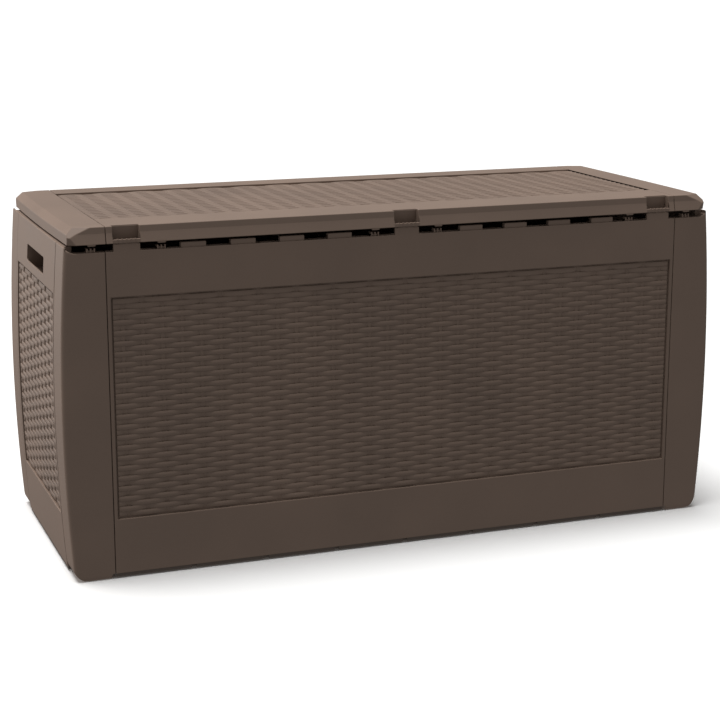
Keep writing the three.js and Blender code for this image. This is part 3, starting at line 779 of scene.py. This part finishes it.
post = {
    "seamY": 170.5,
    "thickness": 16,
    "corner": 7,
    "footRound": 22,
    "footEdge": 6,
    "footStart": 4,
    "footSlope": 3,
    "footBlend": 2.5,  # the front edge's roundness fades out over this many radii
    "footLevels": (1.2, 2.6, 4.2, 6, 9.5, 12.5, 16, 19, 22, 30),
    "endLevels": (30, 22, 17),  # slices this far from the end, so that it bends smoothly
    "edge": 1.1,
    "cells": 4,
    "cellFoot": 10,  # lowest rib above the bottom of the wall
    "cellTop": 1.5,
    "steps": 12,
    "tongueLap": 12,
    "tongueRoot": 3,
    "tongueGap": 0.3,
    "tongueFoot": 12,
    "tongueTop": 6,
    "tongueEdge": 0.6,
    "rimSlopeRun": 12,
    "rimSlopeRise": 5,
    "rearStep": 26,  # a rear post is low from the rear wall to the hinge line
}
seamX = cadCorner("front_right_post", 0).x + post["tongueLap"] * mm  # a tongue reaches behind the wall
seamY = -post["seamY"] * mm


def roundFoot(piece):
    big, small = post["footRound"] * mm, post["footEdge"] * mm
    footHalf = bowedHalf(big)
    for vertex in piece.data.vertices:
        x, y, z = vertex.co
        if z < big:
            lost = big - math.sqrt(max(0, big ** 2 - (big - z) ** 2))
            share = min(1, max(0, (x - (footHalf - big)) / big))
            vertex.co.x = x - lost * share
        if z < small:
            lost = small - math.sqrt(max(0, small ** 2 - (small - z) ** 2))
            blend = post["footBlend"] * small
            share = min(1, max(0, (frontFace + blend - y) / blend))
            vertex.co.y = y + lost * share


def lowRimTool(lowTo):  # the front leg is low, and only a thin skin goes up to the end wall's height
    outer = rimHalf - skin
    tool = addBlock("lowRimTool", (seamX - pastFace, frontFace - pastFace, rimHeight),
                    (outer, lowTo, endTop + pastFace))
    sliceAcross(tool, 0, [outer - post["rimSlopeRun"] * mm])
    for vertex in tool.data.vertices:
        if vertex.co.x > outer - mm and vertex.co.z < rimHeight + mm:
            vertex.co.z += post["rimSlopeRise"] * mm
    return tool


def buildPost(name, rear):
    size = post
    thick = size["thickness"] * mm
    innerX, innerY = rimHalf - thick, frontFace + thick
    piece = addBlock(name, (seamX, frontFace, panelFoot), (rimHalf, innerY, endTop))
    sliceAcross(piece, 0, [innerX])
    pushFaces(piece, lambda c, n: n.y > 0.9 and c.x > innerX, (0, seamY - innerY, 0))
    pickEdges(piece, lambda a, b: min(a.x, b.x) > rimHalf - touching
              and max(a.y, b.y) < frontFace + touching and abs(a.z - b.z) > touching)
    bpy.ops.mesh.bevel(offset=size["corner"] * mm, segments=5, affect="EDGES")
    bpy.ops.object.mode_set(mode="OBJECT")

    heights = span(panelFoot + size["cellFoot"] * mm, rimHeight - size["cellTop"] * mm, size["cells"])
    sliceAcross(piece, 2, heights)
    for low, high in zip(heights, heights[1:]):
        pushFaces(piece, lambda c, n: n.x < -0.9 and abs(c.x - innerX) < touching and low < c.z < high
                  and c.y > innerY, (thick - skin, 0, 0), skin / 2, each=True)
        pushFaces(piece, lambda c, n: n.y > 0.9 and abs(c.y - innerY) < touching and low < c.z < high
                  and c.x < innerX, (0, -(thick - skin), 0), skin / 2, each=True)

    footX, footY = seamX + size["footStart"] * mm, seamY - size["footStart"] * mm
    sliceAcross(piece, 0, [footX])
    sliceAcross(piece, 1, [footY])
    pushFaces(piece, lambda c, n: n.z < -0.9 and c.x > footX and c.y < footY, (0, 0, -panelFoot))
    for vertex in piece.data.vertices:
        if vertex.co.z < mm and abs(vertex.co.x - footX) < touching:
            vertex.co.x += size["footSlope"] * mm
        if vertex.co.z < mm and abs(vertex.co.y - footY) < touching:
            vertex.co.y -= size["footSlope"] * mm
    cutWith(piece, lowRimTool(frontFace + size["rearStep"] * mm if rear else innerY))
    softenEdges(piece, size["edge"] * mm)

    extras = []
    lap, root, gap = size["tongueLap"] * mm, size["tongueRoot"] * mm, size["tongueGap"] * mm
    tongueX, tongueY = innerX - gap, innerY + gap
    foot, top = panelFoot + size["tongueFoot"] * mm, rimHeight - size["tongueTop"] * mm
    extras.append(addBlock("tongue", (seamX - lap, tongueY, foot), (seamX + root, tongueY + skin, top)))
    extras.append(addBlock("tongue", (tongueX - skin, seamY - root, foot), (tongueX, seamY + lap, top)))
    for extra in extras:
        softenEdges(extra, size["tongueEdge"] * mm)
    if not rear:
        for place in rim["bumpers"]:
            if place * mm > wallHalf:
                extras.append(bumperAt(place))
    joinTo(piece, extras)
    sliceAcross(piece, 2, [level * mm for level in size["footLevels"]])
    sliceAcross(piece, 2, span(size["footLevels"][-1] * mm, endTop, size["steps"])[1:-1])
    sliceAcross(piece, 0, [rimHalf - level * mm for level in size["endLevels"]])
    bowOut(piece, seamX)
    roundFoot(piece)
    smoothOff(piece)
    return piece


frontRightPost = buildPost("frontRightPost", False)
frontLeftPost = copyOf(frontRightPost, "frontLeftPost", flip="X")
rearMould = buildPost("rearMould", True)
rearRightPost = copyOf(rearMould, "rearRightPost", flip="Y")
rearLeftPost = copyOf(rearMould, "rearLeftPost", turn=180)
bpy.data.objects.remove(rearMould)
print("posts are made")

# lid

lid = {
    "foot": 551,
    "flare": 16.5,
    "skirtInset": 4.2,
    "topInset": 5,
    "fieldFront": -146,
    "fieldRear": 176,
    "pocket": 5.5,
    "margin": 3,
    "rows": 36,
    "weaveEnd": 0.5,
    "rib": 3,
    "ribFoot": 560.6,
    "columns": 10,
    "rowMargin": 5.5,  # outer ribs inside the skirt
    "notches": (-473, 0, 473),
    "notchWidth": 43.5,
    "notchTop": 16,
    "notchFoot": 19,
    "notchWall": 3,
    "cheekWall": 2.4,
    "cheekFront": 5.5,
    "scoopFoot": 1,  # the scoop's walls above the bottom of the skirt
    "scoopTop": 1.5,  # and below the top of the lid
    "scoopLap": 2,
    "scoopEdge": 0.6,
    "cheekGap": 0.01,
    "cheekEdge": 0.5,
    "ledgeHeight": 6,
    "ledgeThickness": 4,
    "ledgeBack": 0.9,
    "ledgeEdge": 0.7,
    "nubs": 5,
    "nubPitch": 7.2,
    "nubHalf": 1.3,
    "nubProud": 0.7,
    "nubRise": 0.9,
    "nubFoot": 2,
    "nubEdge": 0.5,
    "chamferRun": 11,
    "chamferDrop": 10.5,
    "cornerCut": 14,
    "cornerCutDepth": 8,
    "facetInset": 8.2,
    "facetDepth": 16.6,
    "facetFacing": (0.26, 0.69, 0.68),
    "seamGap": 1,
    "endBow": 3,
    "endSteps": 12,
    "endHollow": (12, 4, 7),  # up, in and up again
    "endRibTop": 2,  # end ribs reach this near the top face
    "lipDip": 2.5,
    "lipSide": 2,  # a lip is wider than its bumper by this on each side
    "lipTaper": 3,
    "lipFront": 0.6,
    "lipBack": 3,
    "lipRoot": 3,
    "bayHalf": 41,  # no ribs in this bay above a hinge leaf
    "bayFront": 183,
    "bayRear": 226.5,
    "slotClear": 2,  # room for a hinge bracket in the rear skirt
    "slotFront": 223,
    "slotDrop": 6,
    "edge": 1.0,
    "creaseAngle": 7,  # degrees, small enough to keep the skirt's slight creases
}
lidFoot = lid["foot"] * mm
lidRear = cadBox[1].y
lidSeam = cadCorner("lid_centre_panel", 1).x
lidEndX = cadCorner("lid_right_end", 1).x


def tiltSkirt(piece):
    flareTop = lidFoot + lid["flare"] * mm
    for vertex in piece.data.vertices:
        side = -1 if vertex.co.y < 0 else 1
        if abs(abs(vertex.co.y) - lidRear) < touching:
            if abs(vertex.co.z - flareTop) < touching:
                vertex.co.y -= side * lid["skirtInset"] * mm
            elif abs(vertex.co.z - lidTop) < touching:
                vertex.co.y -= side * lid["topInset"] * mm


def notchTool(x):
    half = lid["notchWidth"] * mm / 2
    tool = addBlock("notchTool", (x - half, lidFront - pastFace, lidFoot - pastFace),
                    (x + half, lidFront + lid["notchTop"] * mm, lidTop + pastFace))
    for vertex in tool.data.vertices:
        if vertex.co.y > lidFront and vertex.co.z < lidFoot:
            vertex.co.y = lidFront + lid["notchFoot"] * mm
    return tool


def hingeBayTool(low, high):
    middle, half = (low.x + high.x) / 2, lid["bayHalf"] * mm
    return addBlock("hingeBayTool", (middle - half, lid["bayFront"] * mm, lidFoot - pastFace),
                    (middle + half, lid["bayRear"] * mm, lidTop - skin))


def hingeSlotTool(low, high):
    clear = lid["slotClear"] * mm
    return addBlock("hingeSlotTool", (low.x - clear, lid["slotFront"] * mm, lidFoot - pastFace),
                    (high.x + clear, lidRear + pastFace, lidTop - lid["slotDrop"] * mm))


def ledgeAt(x):
    half = lid["notchWidth"] * mm / 2 + mm
    front = lidFront + lid["ledgeBack"] * mm
    back, top = front + lid["ledgeThickness"] * mm, lidFoot + lid["ledgeHeight"] * mm
    ledge = addBlock("ledge", (x - half, front, lidFoot), (x + half, back, top))
    softenEdges(ledge, lid["ledgeEdge"] * mm)
    smoothOff(ledge)
    nubs = []
    nubHalf = lid["nubHalf"] * mm
    for i in range(lid["nubs"]):
        at = x + (i - (lid["nubs"] - 1) / 2) * lid["nubPitch"] * mm
        nub = addBlock("nub", (at - nubHalf, front - lid["nubProud"] * mm, lidFoot + lid["nubFoot"] * mm),
                       (at + nubHalf, back - mm, top + lid["nubRise"] * mm))
        softenEdges(nub, lid["nubEdge"] * mm)
        smoothOff(nub)
        nubs.append(nub)
    return joinTo(ledge, nubs)


def lipAt(x):
    half = (rim["bumperWidth"] / 2 + lid["lipSide"]) * mm
    taper = lid["lipTaper"] * mm
    lip = addBlock("skirtLip", (x - half, lidFront + lid["lipFront"] * mm, lidFoot - lid["lipDip"] * mm),
                   (x + half, lidFront + lid["lipBack"] * mm, lidFoot + lid["lipRoot"] * mm))
    for vertex in lip.data.vertices:
        if vertex.co.z < lidFoot:
            vertex.co.x += taper if vertex.co.x < x else -taper
    softenEdges(lip, rim["ribEdge"] * mm)
    smoothOff(lip)
    return lip


def scoopWalls(x):  # the back wall and cheeks of a notch
    half, lap = lid["notchWidth"] * mm / 2, lid["scoopLap"] * mm
    y, slope = lidFront + lid["notchTop"] * mm, (lid["notchFoot"] - lid["notchTop"]) * mm
    low, high = lidFoot + lid["scoopFoot"] * mm, lidTop - lid["scoopTop"] * mm
    back = addBlock("scoopBack", (x - half - lap, y, low), (x + half + lap, y + lid["notchWall"] * mm, high))
    for vertex in back.data.vertices:
        if vertex.co.z < low + mm:
            vertex.co.y += slope
    softenEdges(back, lid["scoopEdge"] * mm)
    walls = [back]
    for side in (-1, 1):
        inner = x + side * (half + lid["cheekGap"] * mm)
        outer = inner + side * lid["cheekWall"] * mm
        cheek = addBlock("scoopCheek", (min(inner, outer), lidFront + lid["cheekFront"] * mm, low),
                         (max(inner, outer), y + lap, high))
        softenEdges(cheek, lid["cheekEdge"] * mm)
        walls.append(cheek)
    return walls


def buildLidCentre(name):
    size = lid
    piece = addBlock(name, (-lidSeam, -lidRear, lidFoot), (lidSeam, lidRear, lidTop))
    sliceAcross(piece, 2, [lidFoot + size["flare"] * mm])
    tiltSkirt(piece)
    front, rear = size["fieldFront"] * mm, size["fieldRear"] * mm
    rib, ribFoot = size["rib"] * mm, size["ribFoot"] * mm
    margin = size["rowMargin"] * mm
    # underside: down to the ribs, then the cells between them
    pickFaces(piece, lambda c, n: n.z < -0.9)
    bpy.ops.mesh.inset(thickness=skin, depth=0)
    bpy.ops.mesh.extrude_region_move(TRANSFORM_OT_translate={"value": (0, 0, ribFoot - lidFoot)})
    bpy.ops.object.mode_set(mode="OBJECT")
    innerHalf, innerRear = lidSeam - skin, lidRear - skin
    columns = span(-innerHalf, innerHalf, size["columns"])
    rows = [margin - innerRear, front - rib / 2, (front + rear) / 2, rear + rib / 2, innerRear - margin]
    sliceAcross(piece, 0, columns[1:-1])
    sliceAcross(piece, 1, rows)
    deep = size["pocket"] * mm + skin
    for y0, y1, depth in zip(rows, rows[1:], [skin, deep, deep, skin]):
        pushFaces(piece, lambda c, n: n.z < -0.9 and abs(c.z - ribFoot) < touching and y0 < c.y < y1
                  and abs(c.x) < innerHalf, (0, 0, lidTop - depth - ribFoot), rib / 2, each=True)
    # the pocket for the weave runs from seam to seam
    sliceAcross(piece, 1, [front, rear])
    pushFaces(piece, lambda c, n: n.z > 0.9 and abs(c.z - lidTop) < touching and front < c.y < rear,
              (0, 0, -size["pocket"] * mm))
    mendMesh(piece)
    for x in size["notches"]:
        cutWith(piece, notchTool(x * mm))
    for place in ("left", "centre", "right"):
        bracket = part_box("hinge_bracket_" + place)
        cutWith(piece, hingeBayTool(*bracket))
        cutWith(piece, hingeSlotTool(*bracket))
    softenEdges(piece, size["edge"] * mm)
    smoothOff(piece, size["creaseAngle"])
    extras = []
    for x in size["notches"]:
        extras += [ledgeAt(x * mm)] + scoopWalls(x * mm)
    for side in (-1, 1):
        extras += [lipAt(side * place * mm) for place in rim["bumpers"] if place * mm < lidSeam]
    joinTo(piece, extras)
    return piece


def buildLidEnd(name):
    size = lid
    seam = lidSeam + size["seamGap"] * mm
    piece = addBlock(name, (seam, -lidRear, lidFoot), (lidEndX, lidRear, lidTop))
    sliceAcross(piece, 2, [lidFoot + size["flare"] * mm])
    tiltSkirt(piece)
    run, drop = size["chamferRun"] * mm, size["chamferDrop"] * mm
    cut, cutDepth = size["cornerCut"] * mm, size["cornerCutDepth"] * mm
    trimOff(piece, (lidEndX - run, 0, lidTop), (drop, 0, run))
    for side in (-1, 1):
        trimOff(piece, (lidEndX - cut, side * lidRear, 0), (cutDepth, side * cut, 0))
        tilted = (lidEndX - size["facetInset"] * mm, side * (lidRear - size["facetDepth"] * mm), lidTop)
        facing = size["facetFacing"]
        trimOff(piece, tilted, (facing[0], side * facing[1], facing[2]))
    # hollow below, with the rim of the moulding left round it
    firstRise, step, secondRise = (part * mm for part in size["endHollow"])
    pickFaces(piece, lambda c, n: n.z < -0.9)
    bpy.ops.mesh.inset(thickness=skin, depth=0)
    bpy.ops.mesh.extrude_region_move(TRANSFORM_OT_translate={"value": (0, 0, firstRise)})
    bpy.ops.mesh.inset(thickness=step, depth=0)
    bpy.ops.mesh.extrude_region_move(TRANSFORM_OT_translate={"value": (0, 0, secondRise)})
    bpy.ops.object.mode_set(mode="OBJECT")
    softenEdges(piece, size["edge"] * mm, angle=20)
    ribs = []
    for y in (size["fieldFront"] * mm, 0, size["fieldRear"] * mm):
        ribs.append(addBlock("endRib", (seam + mm, y - size["rib"] * mm / 2, size["ribFoot"] * mm),
                             (lidEndX - run, y + size["rib"] * mm / 2, lidTop - size["endRibTop"] * mm)))
    for place in rim["bumpers"]:
        if place * mm > lidSeam:
            ribs.append(lipAt(place * mm))
    joinTo(piece, ribs)
    sliceAcross(piece, 1, span(-lidRear, lidRear, size["endSteps"])[1:-1])
    for vertex in piece.data.vertices:
        share = min(1, max(0, (vertex.co.x - seam) / (lidEndX - seam)))
        vertex.co.x -= share * size["endBow"] * mm * (vertex.co.y / lidRear) ** 2
    smoothOff(piece, size["creaseAngle"])
    return piece


lidCentre = buildLidCentre("lidCentre")
lidRightEnd = buildLidEnd("lidRightEnd")
lidLeftEnd = copyOf(lidRightEnd, "lidLeftEnd", flip="X")

lidWeaveHalf = lidSeam - lid["weaveEnd"] * mm
lidWeave = weaveField("lidWeave", (-lidWeaveHalf, (lid["fieldFront"] + lid["margin"]) * mm),
                      (lidWeaveHalf, (lid["fieldRear"] - lid["margin"]) * mm), lid["rows"], lidStrand)
lidWeave.location = (0, 0, lidTop - lid["pocket"] * mm)
settle(lidWeave)
print("lid is made")

# everything rides on its body

finishPiece(frontPanel, "box", "wall_resin", wallPaint, "front_wall")
finishPiece(rearPanel, "box", "wall_resin", wallPaint, "rear_wall")
finishPiece(rightPanel, "box", "wall_resin", wallPaint, "right_end_wall")
finishPiece(leftPanel, "box", "wall_resin", wallPaint, "left_end_wall")
for piece in (frontWeave, rearWeave):
    finishPiece(piece, "box", "wall_resin", longWeavePaint)
for piece in (leftWeave, rightWeave):
    finishPiece(piece, "box", "wall_resin", endWeavePaint)
finishPiece(frontRightPost, "box", "wall_resin", wallPaint, "front_right_post")
finishPiece(frontLeftPost, "box", "wall_resin", wallPaint, "front_left_post")
finishPiece(rearRightPost, "box", "wall_resin", wallPaint, "rear_right_post")
finishPiece(rearLeftPost, "box", "wall_resin", wallPaint, "rear_left_post")
finishPiece(lidCentre, "lid", "lid_resin", lidPaint, "lid_centre_panel")
finishPiece(lidRightEnd, "lid", "lid_resin", lidPaint, "lid_right_end")
finishPiece(lidLeftEnd, "lid", "lid_resin", lidPaint, "lid_left_end")
finishPiece(lidWeave, "lid", "lid_resin", longWeavePaint)

for node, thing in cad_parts.items():
    if node.startswith("hinge_pin"):
        paint = pinPaint
    elif "hinge" in node:
        paint = hingePaint
    elif node == "floor_panel":
        paint = floorResinPaint
    else:
        continue
    thing.data.materials.clear()
    thing.data.materials.append(paint)
